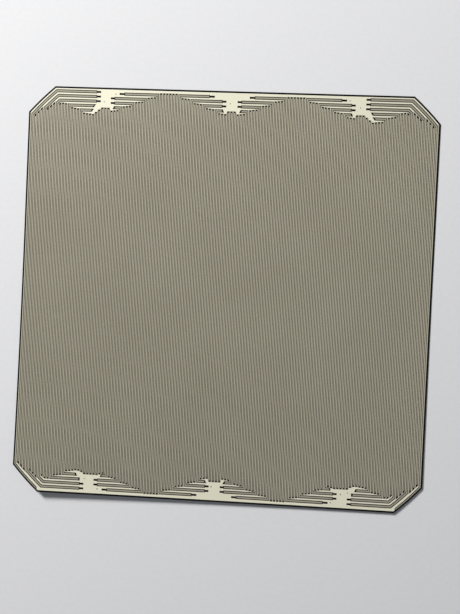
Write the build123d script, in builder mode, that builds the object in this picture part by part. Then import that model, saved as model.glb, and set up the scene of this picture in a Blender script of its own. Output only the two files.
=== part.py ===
"""Back-contact solar cell, lying with its rear side up.

A square wafer of silicon, its corners rounded off by the ingot it was cut from, carries two
interlocking combs of plated metal. The fingers of both combs run along Y and take turns across X.
The positive comb joins its fingers along the +Y edge and the negative comb along the -Y edge, each
at three solder pads. Beside the pads some fingers of the other comb turn and run along the edge as
rows, which divide the joining metal into arms. All other fingers end bluntly under an arm. The
same insulating gap separates the two combs everywhere.
"""

import os
from collections import namedtuple
from math import hypot, sqrt

from build123d import *

# ---------------------------------------------------------------- driving dimensions (millimetres)
CELL_WIDTH = 125.0  # across the fingers, along X
CELL_LENGTH = 125.0  # along the fingers, along Y
CORNER_LEG = 8.0  # how much of each edge the rounded corner takes away
INGOT_RADIUS = 82.9  # radius of the rounded corners
WAFER_THICKNESS = 0.16
PLATING_THICKNESS = 0.035
BARE_BORDER = 0.5  # silicon left bare all round the metal

NEGATIVE_FINGERS = 131  # odd, so one lies on the centre line; the positive comb has one more
FINGER_ROOT = 0.34  # width of a finger where it leaves its own arm
GAP = 0.175  # bare silicon between the combs
STUB_GAP = 0.42  # gap at the blunt end of a finger

PAD_FINGER = 41  # the outer pads are centred on this negative finger, counted from the middle
ROW_PITCH = 1.41  # from one row to the next
POSITIVE_INNER_ROW = 1.33  # depth of the first row below the rim, between the positive pads
POSITIVE_OUTER_ROW = 0.90  # the same, outside the outer positive pads
NEGATIVE_ROW = 1.35  # the same, at the negative edge
ROW_HEIGHT = 0.86  # opening cut in a comb for a row of the other comb
ROW_GAP = 0.19  # gap on each side of the metal in such an opening
WINDOW_HEIGHT = 0.50  # bare window at the end of a row, beside the pad
SHORTEST_WINDOW = 1.0  # a row with less bare length than this ends at a pad's sloping flank
CORNER_SHIFT = 0.33  # negative rows run this much deeper round the corners, inside the rim line
RIM_LINE_SHORT = 0.6  # the positive rim line stops this far before it reaches the -Y edge

# A row is a finger that turns towards a pad: its finger counted from the middle, its number
# counted from the rim, its pad (0 middle, 1 outer), how many fingers from the pad's middle its
# opening ends, the bare length there, and how far the end slopes away from the pad.
POSITIVE_ROWS = [
    (17, 1, 0, 5.67, 1.65, 0),
    (13, 2, 0, 1.85, 1.30, 0),
    (9, 3, 0, 1.85, 1.30, 0),
    (5, 4, 0, 2.70, 0.45, -0.4),
    (36, 4, 1, -2.60, 0.45, -0.4),
    (32, 3, 1, -1.69, 1.30, 0),
    (28, 2, 1, -1.69, 1.30, 0),
    (24, 1, 1, -4.50, 1.65, 0),
    (49, 5, 1, 4.18, 0.45, 0.6),
    (53, 4, 1, 3.55, 0.45, 0.6),
    (57, 3, 1, 1.69, 1.35, 0),
    (61, 2, 1, 1.69, 1.35, 0),
    (65, 1, 1, 1.69, 1.35, 0),
]
NEGATIVE_ROWS = [
    (17.5, 1, 0, 5.67, 1.65, 0),
    (13.5, 2, 0, 1.85, 1.25, 0),
    (9.5, 3, 0, 1.85, 1.25, 0),
    (5.5, 4, 0, 2.91, 0.45, 0.4),
    (35.5, 4, 1, -3.81, 0.30, 0.3),
    (31.5, 3, 1, -1.69, 1.25, 0),
    (27.5, 2, 1, -1.69, 1.25, 0),
    (23.5, 1, 1, -4.45, 1.65, 0),
    (49.5, 4, 1, 4.13, 0.45, 0.4),
    (53.5, 3, 1, 2.97, 0.45, 0),
    (57.5, 2, 1, 1.69, 1.35, 0),
    (61.5, 1, 1, 1.69, 1.35, 0),
]

# A run of blunt fingers: first and last finger counted from the middle, the row above them
# (0 is the rim), and how wide an arm is left below that row at the first and at the last. The
# width is negative inside a pad, which reaches less deep than the row beside it.
POSITIVE_STUBS = [
    (0, 1, 4, -0.34, -0.34),
    (2, 4, 4, 0.51, 0.26),
    (6, 8, 3, 0.51, 0.26),
    (10, 12, 2, 0.48, 0.28),
    (14, 16, 1, 0.48, 0.28),
    (18, 23, 0, 0.80, 0.80),
    (25, 27, 1, 0.28, 0.48),
    (29, 31, 2, 0.28, 0.48),
    (33, 35, 3, 0.26, 0.51),
    (37, 39, 4, 0.26, 0.51),
    (40, 42, 4, -0.34, -0.34),
    (43, 44, 5, -0.68, 0.07),
    (45, 48, 5, 0.72, 0.37),
    (50, 52, 4, 0.52, 0.22),
    (54, 56, 3, 0.47, 0.22),
    (58, 60, 2, 0.32, 0.16),
    (62, 64, 1, 0.30, 0.18),
]
NEGATIVE_STUBS = [
    (0.5, 1.5, 4, -0.41, -0.41),
    (2.5, 4.5, 4, 0.49, 0.18),
    (6.5, 8.5, 3, 0.50, 0.18),
    (10.5, 12.5, 2, 0.46, 0.18),
    (14.5, 16.5, 1, 0.47, 0.27),
    (18.5, 22.5, 0, 0.80, 0.80),
    (24.5, 26.5, 1, 0.22, 0.47),
    (28.5, 30.5, 2, 0.22, 0.46),
    (32.5, 34.5, 3, 0.20, 0.50),
    (36.5, 37.5, 4, 0.16, -0.10),
    (38.5, 42.5, 4, -0.30, -0.26),
    (43.5, 44.5, 4, 0.34, 0.69),
    (45.5, 48.5, 4, 0.74, 0.29),
    (50.5, 52.5, 3, 0.45, 0.20),
    (54.5, 56.5, 2, 0.56, 0.41),
    (58.5, 60.5, 1, 0.27, 0.22),
    (62.5, 64.5, 0, 0.75, 0.65),
]

# --------------------------------------------------------------------------------- derived values
METAL_X = CELL_WIDTH / 2 - BARE_BORDER
METAL_Y = CELL_LENGTH / 2 - BARE_BORDER
METAL_RADIUS = INGOT_RADIUS - BARE_BORDER
CENTRE_TO_EDGE = (CORNER_LEG + sqrt(2 * INGOT_RADIUS**2 - CORNER_LEG**2)) / 2
CORNER_X = CELL_WIDTH / 2 - CENTRE_TO_EDGE  # centre of the +X +Y corner's arc
CORNER_Y = CELL_LENGTH / 2 - CENTRE_TO_EDGE
LAST_FINGER = NEGATIVE_FINGERS // 2
PITCH = (METAL_X - FINGER_ROOT / 2) / (LAST_FINGER + 0.5)  # between two fingers of one comb
FINGER_TIP = PITCH - FINGER_ROOT - 2 * GAP  # width of a finger where it ends
RIM_LINE = (FINGER_ROOT + FINGER_TIP) / 2  # width of the outermost positive finger

Place = namedtuple("Place", "x y on_arc", defaults=[False])  # on_arc: an arc passes through it
Row = namedtuple("Row", "depth turn mouth window slope")
Stub = namedtuple("Stub", "depth")
Edge = namedtuple("Edge", "ends corner_shift")  # how the fingers end along one edge, by number


# -------------------------------------------------------------------------- places along the rim
def arc_y(x, radius):
    return CORNER_Y + sqrt(radius**2 - (x - CORNER_X) ** 2)


def arc_x(y, radius):
    return CORNER_X + sqrt(radius**2 - (y - CORNER_Y) ** 2)


def below_rim(x, depth, corner_shift):
    """Place at x that lies this deep inside the metal's rim."""
    return Place(x, min(METAL_Y - depth, arc_y(x, METAL_RADIUS - depth - corner_shift)))


def arc(start, end, radius):
    """Both ends of a corner arc, and the place halfway along it."""
    middle_x = (start[0] + end[0]) / 2 - CORNER_X
    middle_y = (start[1] + end[1]) / 2 - CORNER_Y
    stretch = radius / hypot(middle_x, middle_y)
    halfway = Place(CORNER_X + middle_x * stretch, CORNER_Y + middle_y * stretch, on_arc=True)
    return [Place(*start), halfway, Place(*end)]


def bend(x, depth, corner_shift=0.0):
    """From the upright line at x to the line at this depth, round the cell's corner if it is near."""
    y = METAL_Y - depth
    radius = METAL_RADIUS - depth - corner_shift
    if hypot(x - CORNER_X, y - CORNER_Y) <= radius or x < CORNER_X:
        return [Place(x, y)]
    return arc((x, arc_y(x, radius)), (arc_x(y, radius), y), radius)


def mirrored(places):
    """The same places on the other side of the centre line, still read from right to left."""
    return [Place(-place.x, place.y, place.on_arc) for place in reversed(places)]


def flipped(places):
    """The same places at the opposite edge."""
    return [Place(place.x, -place.y, place.on_arc) for place in places]


# ------------------------------------------------------------------------------- ends of a finger
def edge_of(inner_row, outer_row, rows, stubs, corner_shift):
    """Every finger's end along one edge of the cell, right of the middle."""

    def row_depth(row, finger):
        if row == 0:
            return 0.0
        first_depth = outer_row if finger > PAD_FINGER else inner_row
        return first_depth + ROW_PITCH * (row - 1)

    ends = {}
    for finger, row, pad, mouth, window, slope in rows:
        mouth_x = (pad * PAD_FINGER + mouth) * PITCH
        turn = -1 if mouth > 0 else 1
        ends[finger] = Row(row_depth(row, finger), turn, mouth_x, window, slope)
    for first, last, row, first_arm, last_arm in stubs:
        for step in range(int(last - first) + 1):
            arm = first_arm + (last_arm - first_arm) * step / max(last - first, 1)
            below = row_depth(row, first) + (ROW_HEIGHT / 2 if row else 0)
            ends[first + step] = Stub(below + arm)
    return Edge(ends, corner_shift)


def around_stub(x, half_width, depth, corner_shift):
    """Round a blunt end at this depth, from the right side to the left."""
    return [
        below_rim(x + half_width, depth, corner_shift),
        below_rim(x - half_width, depth, corner_shift),
    ]


def around_row(x, half_width, row, is_metal, corner_shift):
    """Round a finger that turns into a row, from the right side to the left."""
    middle_y = METAL_Y - row.depth
    half_height = ROW_HEIGHT / 2 - (ROW_GAP if is_metal else 0)
    outside = bend(x - row.turn * half_width, row.depth - half_height, corner_shift)
    inside = bend(x + row.turn * half_width, row.depth + half_height, corner_shift)

    def end_place(end_x, y):
        return Place(end_x - row.turn * row.slope * (middle_y - y) / ROW_HEIGHT, y)

    top, bottom = middle_y + half_height, middle_y - half_height
    if is_metal:
        tip_x = row.mouth - row.turn * row.window
        end = [end_place(tip_x, top), end_place(tip_x, bottom)]
    elif row.window < SHORTEST_WINDOW:
        end = [end_place(row.mouth, top), end_place(row.mouth, bottom)]
    else:
        neck_x = row.mouth - row.turn * (row.window - GAP)
        high, low = middle_y + WINDOW_HEIGHT / 2, middle_y - WINDOW_HEIGHT / 2
        end = [Place(neck_x, top), Place(neck_x, high), Place(row.mouth, high)]
        end += [Place(row.mouth, low), Place(neck_x, low), Place(neck_x, bottom)]
    places = outside + end + inside[::-1]
    return places if row.turn < 0 else places[::-1]


def around_end(finger, edge, is_metal):
    """Round a finger's far end: its own metal, or the opening for it in the other comb."""
    if finger < 0:
        return mirrored(around_end(-finger, edge, is_metal))
    end = edge.ends[finger]
    half_width = FINGER_TIP / 2 if is_metal else FINGER_TIP / 2 + GAP
    if isinstance(end, Row):
        return around_row(finger * PITCH, half_width, end, is_metal, edge.corner_shift)
    depth = end.depth + STUB_GAP if is_metal else end.depth
    return around_stub(finger * PITCH, half_width, depth, edge.corner_shift)


# ---------------------------------------------------------------------- outlines of the two combs
POSITIVE_EDGE = edge_of(
    POSITIVE_INNER_ROW, POSITIVE_OUTER_ROW, POSITIVE_ROWS, POSITIVE_STUBS, corner_shift=0.0
)
NEGATIVE_EDGE = edge_of(
    NEGATIVE_ROW, NEGATIVE_ROW, NEGATIVE_ROWS, NEGATIVE_STUBS, corner_shift=CORNER_SHIFT
)
RIM_LINE_STOP = arc_x(METAL_Y, METAL_RADIUS) + RIM_LINE_SHORT  # where its end lies


def between_the_sides(negative_is_metal):
    """Zigzag from the right side to the left, round every finger's end in turn."""
    places = []
    for finger in range(LAST_FINGER, -LAST_FINGER - 1, -1):
        places += around_end(finger, POSITIVE_EDGE, is_metal=negative_is_metal)
        if finger > -LAST_FINGER:
            places += flipped(around_end(finger - 0.5, NEGATIVE_EDGE, is_metal=not negative_is_metal))
    return places


def rim_arc(inset, stop_x):
    """The rim's corner arc, or a line inside it, from the side of the cell to stop_x."""
    x = METAL_X - inset
    radius = METAL_RADIUS - inset
    return arc((x, arc_y(x, radius)), (stop_x, arc_y(stop_x, radius)), radius)


def positive_outline():
    """The +Y edge's pads and arms, their fingers, and a thin line round the sides and corners."""
    rim_line = flipped(rim_arc(0, RIM_LINE_STOP) + rim_arc(RIM_LINE, RIM_LINE_STOP)[::-1])
    corner = bend(METAL_X, 0)[::-1]
    rim = mirrored(corner) + corner
    return rim_line + between_the_sides(False) + mirrored(rim_line) + rim


def negative_outline():
    """The -Y edge's pads and arms, and their fingers, inside the positive comb's thin line."""
    edge_end = Place(arc_x(METAL_Y, METAL_RADIUS), METAL_Y)
    stop_x = RIM_LINE_STOP - GAP
    border = [edge_end, Place(stop_x, arc_y(stop_x, METAL_RADIUS))]
    border = flipped(border + rim_arc(RIM_LINE + GAP, stop_x)[::-1])
    return border + between_the_sides(True) + mirrored(border)


def draw(outline):
    """Closed line through the places of an outline, with an arc through each place on an arc."""
    straight = []
    for place, following in zip(outline, outline[1:] + outline[:1]):
        if place.on_arc:
            if len(straight) > 1:
                Polyline(*straight)
            ThreePointArc(straight[-1], (place.x, place.y), (following.x, following.y))
            straight = []
        else:
            straight.append((place.x, place.y))
    Polyline(*straight, (outline[0].x, outline[0].y))


# ------------------------------------------------------------------------------------ the pieces
wafer_corner = arc(
    (CELL_WIDTH / 2, CELL_LENGTH / 2 - CORNER_LEG),
    (CELL_WIDTH / 2 - CORNER_LEG, CELL_LENGTH / 2),
    INGOT_RADIUS,
)
upper_half = wafer_corner + mirrored(wafer_corner)

with BuildPart() as silicon_wafer:
    with BuildSketch():
        with BuildLine():
            draw(upper_half + flipped(upper_half)[::-1])
        make_face()
    extrude(amount=WAFER_THICKNESS)

with BuildPart() as positive_contact_grid:
    with BuildSketch(Plane.XY.offset(WAFER_THICKNESS)):
        with BuildLine():
            draw(positive_outline())
        make_face()
    extrude(amount=PLATING_THICKNESS)

with BuildPart() as negative_contact_grid:
    with BuildSketch(Plane.XY.offset(WAFER_THICKNESS)):
        with BuildLine():
            draw(negative_outline())
        make_face()
    extrude(amount=PLATING_THICKNESS)

# ----------------------------------------------------------------------------------- STEP files
silicon_wafer.part.label = "silicon_wafer"
positive_contact_grid.part.label = "positive_contact_grid"
negative_contact_grid.part.label = "negative_contact_grid"

os.makedirs("parts", exist_ok=True)
export_step(silicon_wafer.part, "parts/silicon_wafer.step")
export_step(positive_contact_grid.part, "parts/positive_contact_grid.step")
export_step(negative_contact_grid.part, "parts/negative_contact_grid.step")
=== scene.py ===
"""Looks of the back-contact solar cell, lying on a pale floor with its rear side up."""

from math import ceil, cos, hypot, pi, radians, sin

import bpy
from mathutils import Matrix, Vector
from mathutils.geometry import delaunay_2d_cdt


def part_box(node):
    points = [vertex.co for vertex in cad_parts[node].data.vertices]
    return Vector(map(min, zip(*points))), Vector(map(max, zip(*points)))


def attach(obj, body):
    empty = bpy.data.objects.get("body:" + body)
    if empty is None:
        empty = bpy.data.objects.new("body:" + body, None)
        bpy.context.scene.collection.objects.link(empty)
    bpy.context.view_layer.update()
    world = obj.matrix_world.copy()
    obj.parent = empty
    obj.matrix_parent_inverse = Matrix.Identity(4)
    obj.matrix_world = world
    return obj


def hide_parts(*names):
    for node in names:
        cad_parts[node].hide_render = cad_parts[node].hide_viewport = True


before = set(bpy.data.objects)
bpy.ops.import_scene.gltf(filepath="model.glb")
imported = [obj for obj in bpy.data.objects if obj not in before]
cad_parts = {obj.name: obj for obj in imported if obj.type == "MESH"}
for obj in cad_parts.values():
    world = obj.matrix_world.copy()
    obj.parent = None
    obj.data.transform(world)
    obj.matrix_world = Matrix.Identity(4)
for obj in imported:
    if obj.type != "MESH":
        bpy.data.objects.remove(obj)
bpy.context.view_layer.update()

MM = 0.001

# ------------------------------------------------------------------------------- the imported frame
WAFER_LOW, WAFER_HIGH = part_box("silicon_wafer")
_, GRID_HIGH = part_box("positive_contact_grid")
HALF_WIDTH = WAFER_HIGH.x
HALF_LENGTH = WAFER_HIGH.y
WAFER_TOP = WAFER_HIGH.z
METAL_TOP = GRID_HIGH.z

# ------------------------------------------------------------------------- the wafer's slight curl
CURL_START = 0.32 * HALF_LENGTH  # from here to the -Y edge the sheet rises off the floor
CURL_RIGHT = 0.4 * MM  # how far the +X end of that edge rises
CURL_LEFT = 1.8 * MM  # and its -X end
CURL_STEP = 4.0 * MM  # size of the facets that follow the curl

# ------------------------------------------------------------------------------- the metal's detail
CROWN_PLACES = [0.0, 0.06, 0.20, 0.50, 0.80, 0.94, 1.0]  # across a finger, from side to side
CROWN_PROFILE = [0.0, 0.62, 0.90, 1.0, 0.90, 0.62, 0.0]  # its height there, share of the metal's
TIP_ROUNDING = 0.06 * MM  # how much of a finger's free end is rounded off
TIP_PLACES = [1.0, 0.3, 0.0]  # share of that rounding still to go
TIP_PROFILE = [1.0, 0.7, 0.0]  # the finger's height there, share of its full height
SHOULDER = 0.06 * MM  # how far the edges of the joining metal slope in, all round
LONG_SIDE = 1.4 * HALF_LENGTH  # an outline edge that runs farther than this in y is a finger's side
SHARP_ANGLE = radians(40)  # faces that meet at more than this show an edge

MARK_RADIUS = 0.19 * MM
MARK_SIDES = 16
MARK_RAISED = 0.003 * MM
MARK_SUNK = 0.012 * MM
MARKS = [  # where test probes touched the pads, millimetres, and how much the mark shows
    (-35.65, 60.6, "deep"),
    (-39.15, 58.2, "faint"),
    (-0.5, 58.7, "faint"),
    (38.65, 58.6, "faint"),
    (35.4, 60.6, "faint"),
    (-40.0, -57.6, "faint"),
    (-35.95, -60.55, "deep"),
    (-0.95, -57.85, "deep"),
    (38.25, -57.86, "deep"),
    (40.35, -57.3, "faint"),
    (35.4, -60.5, "faint"),
]


def curl(x, y):
    """How far the sheet has risen off the floor here."""
    along = max(0.0, (CURL_START - y) / (CURL_START + HALF_LENGTH))
    leftness = (1 - x / HALF_WIDTH) / 2
    return (CURL_RIGHT + (CURL_LEFT - CURL_RIGHT) * leftness**2) * along**2


# ------------------------------------------------------------------------------------- materials
NOISE_LOW, NOISE_HIGH = 0.35, 0.65  # most of a noise's values lie between these
TIN_METALLIC = 0.15
TIN_ROUGHNESS = 0.60
EVEN = (1, 1, 1)  # how a metal's grain is stretched along x, y and z
LONG_IN_Y = (0.8, 6, 1)
LONG_IN_X = (6, 0.8, 1)


def new_material(name):
    """An empty node material: its tree, its Principled shader and an object-space texture place."""
    material = bpy.data.materials.new(name)
    material.use_nodes = True
    tree = material.node_tree
    shader = tree.nodes["Principled BSDF"]
    place = tree.nodes.new("ShaderNodeTexCoord").outputs["Object"]
    return material, tree, shader, place


def noise(tree, place, size, detail=3.0, stretch=(1, 1, 1), roughness=0.55):
    """Noise whose blotches are about this size in metres, times the stretch along each axis."""
    mapping = tree.nodes.new("ShaderNodeMapping")
    mapping.inputs["Scale"].default_value = [1 / (size * s) for s in stretch]
    tree.links.new(place, mapping.inputs["Vector"])
    node = tree.nodes.new("ShaderNodeTexNoise")
    node.inputs["Scale"].default_value = 1.0
    node.inputs["Detail"].default_value = detail
    node.inputs["Roughness"].default_value = roughness
    tree.links.new(mapping.outputs[0], node.inputs["Vector"])
    return node.outputs["Fac"]


def spread(tree, value, low, high):
    """A noise value spread from low to high."""
    node = tree.nodes.new("ShaderNodeMapRange")
    ends = {"From Min": NOISE_LOW, "From Max": NOISE_HIGH, "To Min": low, "To Max": high}
    for name, number in ends.items():
        node.inputs[name].default_value = number
    tree.links.new(value, node.inputs["Value"])
    return node.outputs["Result"]


def times(tree, a, b):
    node = tree.nodes.new("ShaderNodeMath")
    node.operation = "MULTIPLY"
    tree.links.new(a, node.inputs[0])
    tree.links.new(b, node.inputs[1])
    return node.outputs[0]


def between(tree, factor, first, second):
    """Colour between two, by a factor."""
    node = tree.nodes.new("ShaderNodeMix")
    node.data_type = "RGBA"
    node.inputs["A"].default_value = (*first, 1)
    node.inputs["B"].default_value = (*second, 1)
    tree.links.new(factor, node.inputs["Factor"])
    return node.outputs["Result"]


def bump(tree, shader, height, strength, distance):
    node = tree.nodes.new("ShaderNodeBump")
    node.inputs["Strength"].default_value = strength
    node.inputs["Distance"].default_value = distance
    tree.links.new(height, node.inputs["Height"])
    tree.links.new(node.outputs[0], shader.inputs["Normal"])


def tin_material(name, bright, dull, grain_stretch):
    """Matte electroplated tin: cloudy patches, a fine crystalline grain and a grainy gloss."""
    material, tree, shader, place = new_material(name)
    clouds = noise(tree, place, size=22 * MM, detail=4.0)
    grain = noise(tree, place, size=0.22 * MM, detail=4.0, stretch=grain_stretch, roughness=0.7)
    mixed = times(tree, spread(tree, clouds, 0.55, 1.0), spread(tree, grain, 0.6, 1.0))
    tree.links.new(between(tree, mixed, dull, bright), shader.inputs["Base Color"])
    gloss = spread(tree, grain, TIN_ROUGHNESS - 0.08, TIN_ROUGHNESS + 0.10)
    tree.links.new(gloss, shader.inputs["Roughness"])
    shader.inputs["Metallic"].default_value = TIN_METALLIC
    bump(tree, shader, grain, strength=0.35, distance=0.02 * MM)
    return material


def silicon_material(name, darkest, palest, specular):
    """Textured silicon, bare or coated: it swallows nearly all light."""
    material, tree, shader, place = new_material(name)
    clouds = noise(tree, place, size=30 * MM, detail=2.0)
    pyramids = noise(tree, place, size=0.06 * MM, detail=2.0, roughness=0.8)
    dark = between(tree, spread(tree, clouds, 0, 1), darkest, palest)
    tree.links.new(dark, shader.inputs["Base Color"])
    tree.links.new(spread(tree, pyramids, 0.42, 0.62), shader.inputs["Roughness"])
    shader.inputs["Specular IOR Level"].default_value = specular
    bump(tree, shader, pyramids, strength=0.3, distance=0.01 * MM)
    return material


def mark_material(name, colour):
    """Scraped metal where a test probe touched."""
    material, tree, shader, place = new_material(name)
    grain = noise(tree, place, size=0.08 * MM)
    darker = [0.7 * c for c in colour]
    scraped = between(tree, spread(tree, grain, 0, 1), darker, colour)
    tree.links.new(scraped, shader.inputs["Base Color"])
    shader.inputs["Roughness"].default_value = 0.6
    shader.inputs["Metallic"].default_value = 0.3
    return material


def floor_material():
    """Matte white board with a very faint tooth."""
    material, tree, shader, place = new_material("pale_floor")
    tooth = noise(tree, place, size=1.2 * MM, detail=5.0)
    colour = between(tree, spread(tree, tooth, 0, 1), (0.842, 0.848, 0.880), (0.862, 0.868, 0.900))
    tree.links.new(colour, shader.inputs["Base Color"])
    shader.inputs["Roughness"].default_value = 0.9
    shader.inputs["Specular IOR Level"].default_value = 0.1
    bump(tree, shader, tooth, strength=0.08, distance=0.05 * MM)
    return material


SILICON = silicon_material(
    "textured_silicon", (0.0018, 0.0019, 0.0026), (0.0030, 0.0034, 0.0050), specular=0.05
)
COATED_FRONT = silicon_material(
    "coated_front", (0.007, 0.010, 0.026), (0.012, 0.017, 0.042), specular=0.35
)
PAD_TIN = tin_material("tin_pads", (0.835, 0.815, 0.66), (0.74, 0.72, 0.565), EVEN)
# the pads' tin painted darker on the fingers and darker still on the rows: painted shade of the
# narrow crowned metal
SHADED_FINGER_TIN = tin_material("tin_fingers_painted_shade", (0.49, 0.458, 0.355), (0.42, 0.39, 0.295), LONG_IN_Y)
SHADED_ROW_TIN = tin_material("tin_rows_painted_shade", (0.34, 0.317, 0.248), (0.285, 0.265, 0.20), LONG_IN_X)
# the tin's edges and shoulders painted near black: painted shade that draws a dark line along every
# metal edge
SHADED_EDGE_TIN = tin_material("tin_edges_painted_shade", (0.055, 0.052, 0.044), (0.035, 0.033, 0.028), EVEN)
DEEP_MARK = mark_material("deep_probe_mark", (0.10, 0.10, 0.085))
FAINT_MARK = mark_material("faint_probe_mark", (0.30, 0.29, 0.24))


# ----------------------------------------------------------------------------- outlines and sheets
SPOT_DIGITS = 7  # vertices that agree to this many decimals of a metre are one place
LEVEL_SLACK = 0.01 * MM  # how far below the top a vertex may lie and still be of the top face
MITRE_LIMIT = 0.3  # keeps a sharp corner from moving far when an outline is drawn in
INSIDE_ONLY = 1  # the kind of triangulation that keeps what lies inside the outline
MERGE_DISTANCE = 1e-8  # metres


def top_outline(node):
    """The outline of a CAD node's top face, as (x, y) places in order."""
    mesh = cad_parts[node].data
    top = max(v.co.z for v in mesh.vertices)
    spot = [(round(v.co.x, SPOT_DIGITS), round(v.co.y, SPOT_DIGITS)) for v in mesh.vertices]
    level = [v.co.z > top - LEVEL_SLACK for v in mesh.vertices]
    following = {}
    for polygon in mesh.polygons:
        corners = list(polygon.vertices)
        if all(level[c] for c in corners):
            for a, b in zip(corners, corners[1:] + corners[:1]):
                a, b = spot[a], spot[b]
                if a in following.get(b, ()):
                    following[b].remove(a)
                else:
                    following.setdefault(a, []).append(b)
    start = next(a for a in following if following[a])
    outline = [start]
    while following[outline[-1]][0] != start:
        outline.append(following[outline[-1]][0])
    return outline


def divided(outline):
    """The same outline with no edge longer than a step of the curl."""
    places = []
    for a, b in zip(outline, outline[1:] + outline[:1]):
        pieces = max(1, ceil(hypot(b[0] - a[0], b[1] - a[1]) / CURL_STEP))
        for i in range(pieces):
            places.append((a[0] + (b[0] - a[0]) * i / pieces, a[1] + (b[1] - a[1]) * i / pieces))
    return places


def drawn_in(outline, distance):
    """The outline moved inwards, its corners kept sharp."""
    places = []
    befores, afters = outline[-1:] + outline[:-1], outline[1:] + outline[:1]
    for before, here, after in zip(befores, outline, afters):
        one = (Vector(here) - Vector(before)).normalized()
        two = (Vector(after) - Vector(here)).normalized()
        across = Vector((-one.y - two.y, one.x + two.x))
        reach = across.length_squared / 2
        places.append(tuple(Vector(here) + across * distance / max(reach, MITRE_LIMIT)))
    return places


def slab(outline, low, high, shoulder=0.0):
    """A closed slab, its top drawn in by the shoulder: its vertices, flat faces and sides.

    The flat faces are those of the top, then as many of the bottom.
    """
    lower = divided(outline)
    count = len(lower)
    outline = drawn_in(lower, shoulder)
    edges = [(i, (i + 1) % count) for i in range(count)]
    xs = [p[0] for p in outline]
    ys = [p[1] for p in outline]
    inside = []
    for i in range(1, int((max(xs) - min(xs)) / CURL_STEP)):
        for j in range(1, int((max(ys) - min(ys)) / CURL_STEP)):
            inside.append((min(xs) + i * CURL_STEP, min(ys) + j * CURL_STEP))
    places, _, flat_faces, sources, *_ = delaunay_2d_cdt(
        [Vector(p) for p in outline + inside],
        edges,
        [list(range(count))],
        INSIDE_ONLY,
        MERGE_DISTANCE,
    )
    total = len(places)
    vertices = [(p.x, p.y, high) for p in places]
    for place, source in zip(places, sources):
        rim = [i for i in source if i < count]
        x, y = lower[rim[0]] if rim else (place.x, place.y)
        vertices.append((x, y, low))
    flats = [tuple(f) for f in flat_faces]
    flats += [tuple(i + total for i in reversed(f)) for f in flat_faces]
    used = {}
    for face in flat_faces:
        for a, b in zip(face, face[1:] + face[:1]):
            used[(a, b)] = used.get((a, b), 0) + 1
    sides = [(b, a, a + total, b + total) for a, b in used if (b, a) not in used]
    return vertices, flats, sides


def plated(outline, material, shoulder=0.0):
    """Plating with this outline: its flat faces of one material, its sloped and upright edges
    painted near black as shade along the metal's edges.
    """
    vertices, flats, sides = slab(outline, WAFER_TOP, METAL_TOP, shoulder)
    return [(vertices, flats, material), (vertices, sides, SHADED_EDGE_TIN)]


def finger(root_a, tip_a, tip_b, root_b, rounded_tip):
    """Vertices and faces of one crowned finger between its two sides."""
    length = (Vector(tip_a) - Vector(root_a)).length
    steps = max(2, int(length / CURL_STEP))
    shares = [i / steps for i in range(steps + 1)]
    rise = [1.0] * len(shares)
    if rounded_tip:
        shares[-1:] = [1 - place * TIP_ROUNDING / length for place in TIP_PLACES]
        rise[-1:] = TIP_PROFILE
    metal = METAL_TOP - WAFER_TOP
    vertices, faces = [], []
    across = len(CROWN_PLACES)
    for share, lift in zip(shares, rise):
        a = Vector(root_a).lerp(Vector(tip_a), share)
        b = Vector(root_b).lerp(Vector(tip_b), share)
        for place, height in zip(CROWN_PLACES, CROWN_PROFILE):
            p = a.lerp(b, place)
            vertices.append((p.x, p.y, WAFER_TOP + metal * height * lift))
    for i in range(len(shares) - 1):
        k = i * across
        for j in range(k, k + across - 1):
            faces.append((j, j + across, j + across + 1, j + 1))
        faces.append((k + across - 1, k + 2 * across - 1, k + across, k))
    faces.append(tuple(range(across)))
    faces.append(tuple(reversed(range(len(vertices) - across, len(vertices)))))
    return vertices, faces


def split_comb(outline):
    """A comb's outline taken apart: joining metal, fingers, and what lies past their ends."""
    count = len(outline)
    long_sides = [
        i for i in range(count) if abs(outline[i][1] - outline[(i + 1) % count][1]) > LONG_SIDE
    ]
    root_is_high = is_rooted_high(outline)
    fingers, ends, joining_cuts = [], [], []
    for side, next_side in zip(long_sides, long_sides[1:] + long_sides[:1]):
        root_a, tip_a = outline[side], outline[(side + 1) % count]
        tip_b, root_b = outline[next_side], outline[(next_side + 1) % count]
        if (root_a[1] > tip_a[1]) != root_is_high:
            continue
        fingers.append((root_a, tip_a, tip_b, root_b))
        past = walk(outline, (side + 1) % count, next_side)
        ends.append(past if len(past) > 2 else None)
        joining_cuts.append((side, (next_side + 1) % count))
    joining = []
    for (_, start), (stop, _) in zip(joining_cuts, joining_cuts[1:] + joining_cuts[:1]):
        joining += walk(outline, start, stop)
    return joining, fingers, ends


def walk(outline, start, stop):
    """The places of an outline from one number to another, both included."""
    places = [outline[start]]
    while start != stop:
        start = (start + 1) % len(outline)
        places.append(outline[start])
    return places


def is_rooted_high(outline):
    """Whether the fingers grow from the +Y edge: their comb then reaches nearer to that edge."""
    highest = max(p[1] for p in outline)
    lowest = min(p[1] for p in outline)
    return highest > -lowest


# --------------------------------------------------------------------------------- making objects
def build(name, parts, node=None):
    """Make one object from (vertices, faces, material) parts, curled like the sheet."""
    vertices, faces, numbers, materials = [], [], [], []
    for part_vertices, part_faces, material in parts:
        if material not in materials:
            materials.append(material)
        start = len(vertices)
        vertices += [(x, y, z + curl(x, y)) for x, y, z in part_vertices]
        faces += [tuple(i + start for i in f) for f in part_faces]
        numbers += [materials.index(material)] * len(part_faces)
    mesh = bpy.data.meshes.new(name)
    mesh.from_pydata(vertices, [], faces)
    for material in materials:
        mesh.materials.append(material)
    mesh.polygons.foreach_set("material_index", numbers)
    mesh.polygons.foreach_set("use_smooth", [True] * len(faces))
    mesh.set_sharp_from_angle(angle=SHARP_ANGLE)
    mesh.update()
    thing = bpy.data.objects.new(name, mesh)
    bpy.context.scene.collection.objects.link(thing)
    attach(thing, "root")
    if node:
        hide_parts(node)


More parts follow.
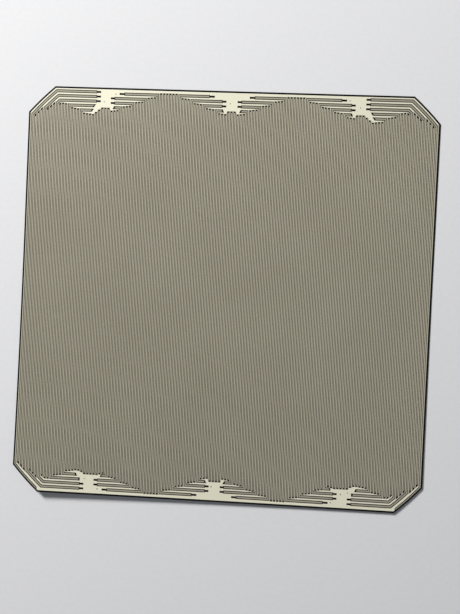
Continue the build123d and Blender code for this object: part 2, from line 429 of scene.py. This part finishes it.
def build_wafer():
    """The wafer lies with its rear side up and its coated front on the floor."""
    vertices, flats, sides = slab(top_outline("silicon_wafer"), WAFER_LOW.z, WAFER_TOP)
    half = len(flats) // 2
    rear, front = flats[:half], flats[half:]
    parts = [(vertices, rear + sides, SILICON), (vertices, front, COATED_FRONT)]
    build("wafer", parts, "silicon_wafer")


def build_comb(name, node):
    """A comb: its joining metal, its crowned fingers and the rows past some of their ends."""
    joining, fingers, ends = split_comb(top_outline(node))
    parts = plated(joining, PAD_TIN, SHOULDER)
    for sides, end in zip(fingers, ends):
        parts.append((*finger(*sides, rounded_tip=end is None), SHADED_FINGER_TIN))
        if end:
            parts += plated(end, SHADED_ROW_TIN)
    build(name, parts, node)


def build_marks():
    """Each mark is a low dot, sunk into the pad it sits on."""
    angles = [i * 2 * pi / MARK_SIDES for i in range(MARK_SIDES)]
    low, high = METAL_TOP - MARK_SUNK, METAL_TOP + MARK_RAISED
    faces = [tuple(reversed(range(MARK_SIDES))), tuple(range(MARK_SIDES, 2 * MARK_SIDES))]
    for i in range(MARK_SIDES):
        following = (i + 1) % MARK_SIDES
        faces.append((i, following, following + MARK_SIDES, i + MARK_SIDES))
    parts = []
    for x, y, kind in MARKS:
        ring = [(x * MM + MARK_RADIUS * cos(a), y * MM + MARK_RADIUS * sin(a)) for a in angles]
        vertices = [(*p, low) for p in ring] + [(*p, high) for p in ring]
        parts.append((vertices, faces, DEEP_MARK if kind == "deep" else FAINT_MARK))
    build("probe_marks", parts)


build_wafer()
build_comb("positive_comb", "positive_contact_grid")
build_comb("negative_comb", "negative_contact_grid")
build_marks()

# ------------------------------------------------------------------------------ floor and lighting
FLOOR_HALF = 0.5
FLOOR_LEVEL = -0.02 * MM
FLOOR_CORNERS = [(-1, -1), (1, -1), (1, 1), (-1, 1)]
floor_mesh = bpy.data.meshes.new("floor")
floor_mesh.from_pydata(
    [(x * FLOOR_HALF, y * FLOOR_HALF, FLOOR_LEVEL) for x, y in FLOOR_CORNERS],
    [],
    [(0, 1, 2, 3)],
)
floor_mesh.materials.append(floor_material())
floor = bpy.data.objects.new("floor", floor_mesh)
bpy.context.scene.collection.objects.link(floor)

FILL_COLOUR = (0.92, 0.96, 1.0, 1)  # light from all round
FILL_STRENGTH = 0.16
BACKDROP_COLOUR = (0.98, 0.98, 1.0, 1)  # what the camera and the metal see past the floor
BACKDROP_STRENGTH = 0.86
world = bpy.data.worlds.new("studio")
world.use_nodes = True
world_tree = world.node_tree
fill = world_tree.nodes["Background"]
fill.inputs["Color"].default_value = FILL_COLOUR
fill.inputs["Strength"].default_value = FILL_STRENGTH
backdrop = world_tree.nodes.new("ShaderNodeBackground")
backdrop.inputs["Color"].default_value = BACKDROP_COLOUR
backdrop.inputs["Strength"].default_value = BACKDROP_STRENGTH
light_path = world_tree.nodes.new("ShaderNodeLightPath")
seen = light_path.outputs["Is Camera Ray"]
for kind in ("Is Glossy Ray", "Is Transmission Ray"):
    either = world_tree.nodes.new("ShaderNodeMath")
    either.operation = "MAXIMUM"
    world_tree.links.new(seen, either.inputs[0])
    world_tree.links.new(light_path.outputs[kind], either.inputs[1])
    seen = either.outputs[0]
world_light = world_tree.nodes.new("ShaderNodeMixShader")
world_tree.links.new(seen, world_light.inputs[0])
world_tree.links.new(fill.outputs[0], world_light.inputs[1])
world_tree.links.new(backdrop.outputs[0], world_light.inputs[2])
world_tree.links.new(world_light.outputs[0], world_tree.nodes["World Output"].inputs["Surface"])
bpy.context.scene.world = world

KEY_PLACE = Vector((-0.50, 0.62, 0.46))
KEY_SIZE = 0.26
KEY_POWER = 11.5
KEY_COLOUR = (1.0, 0.985, 0.95)
key_data = bpy.data.lights.new("key", "AREA")
key_data.shape = "DISK"
key_data.size = KEY_SIZE
key_data.energy = KEY_POWER
key_data.color = KEY_COLOUR
key = bpy.data.objects.new("key", key_data)
key.location = KEY_PLACE
key.rotation_euler = (-KEY_PLACE).to_track_quat("-Z", "Y").to_euler()
bpy.context.scene.collection.objects.link(key)

# ------------------------------------------------------------------------------------- the camera
CAMERA_PLACE = (9.99, -0.10, 165.98)  # millimetres, from the middle of the metal's top
CAMERA_TURN = (-0.807, 2.708, 2.665)  # degrees
SENSOR_HEIGHT = 36.0
LENS = 32.0
camera_data = bpy.data.cameras.new("camera")
camera_data.sensor_fit = "VERTICAL"
camera_data.sensor_height = SENSOR_HEIGHT
camera_data.lens = LENS
camera_data.clip_start = 0.005
camera_data.clip_end = 10.0
camera = bpy.data.objects.new("camera", camera_data)
camera.location = Vector(CAMERA_PLACE) * MM + Vector((0, 0, METAL_TOP))
camera.rotation_euler = [radians(a) for a in CAMERA_TURN]
bpy.context.scene.collection.objects.link(camera)
bpy.context.scene.camera = camera
bpy.context.scene.view_settings.view_transform = "Standard"
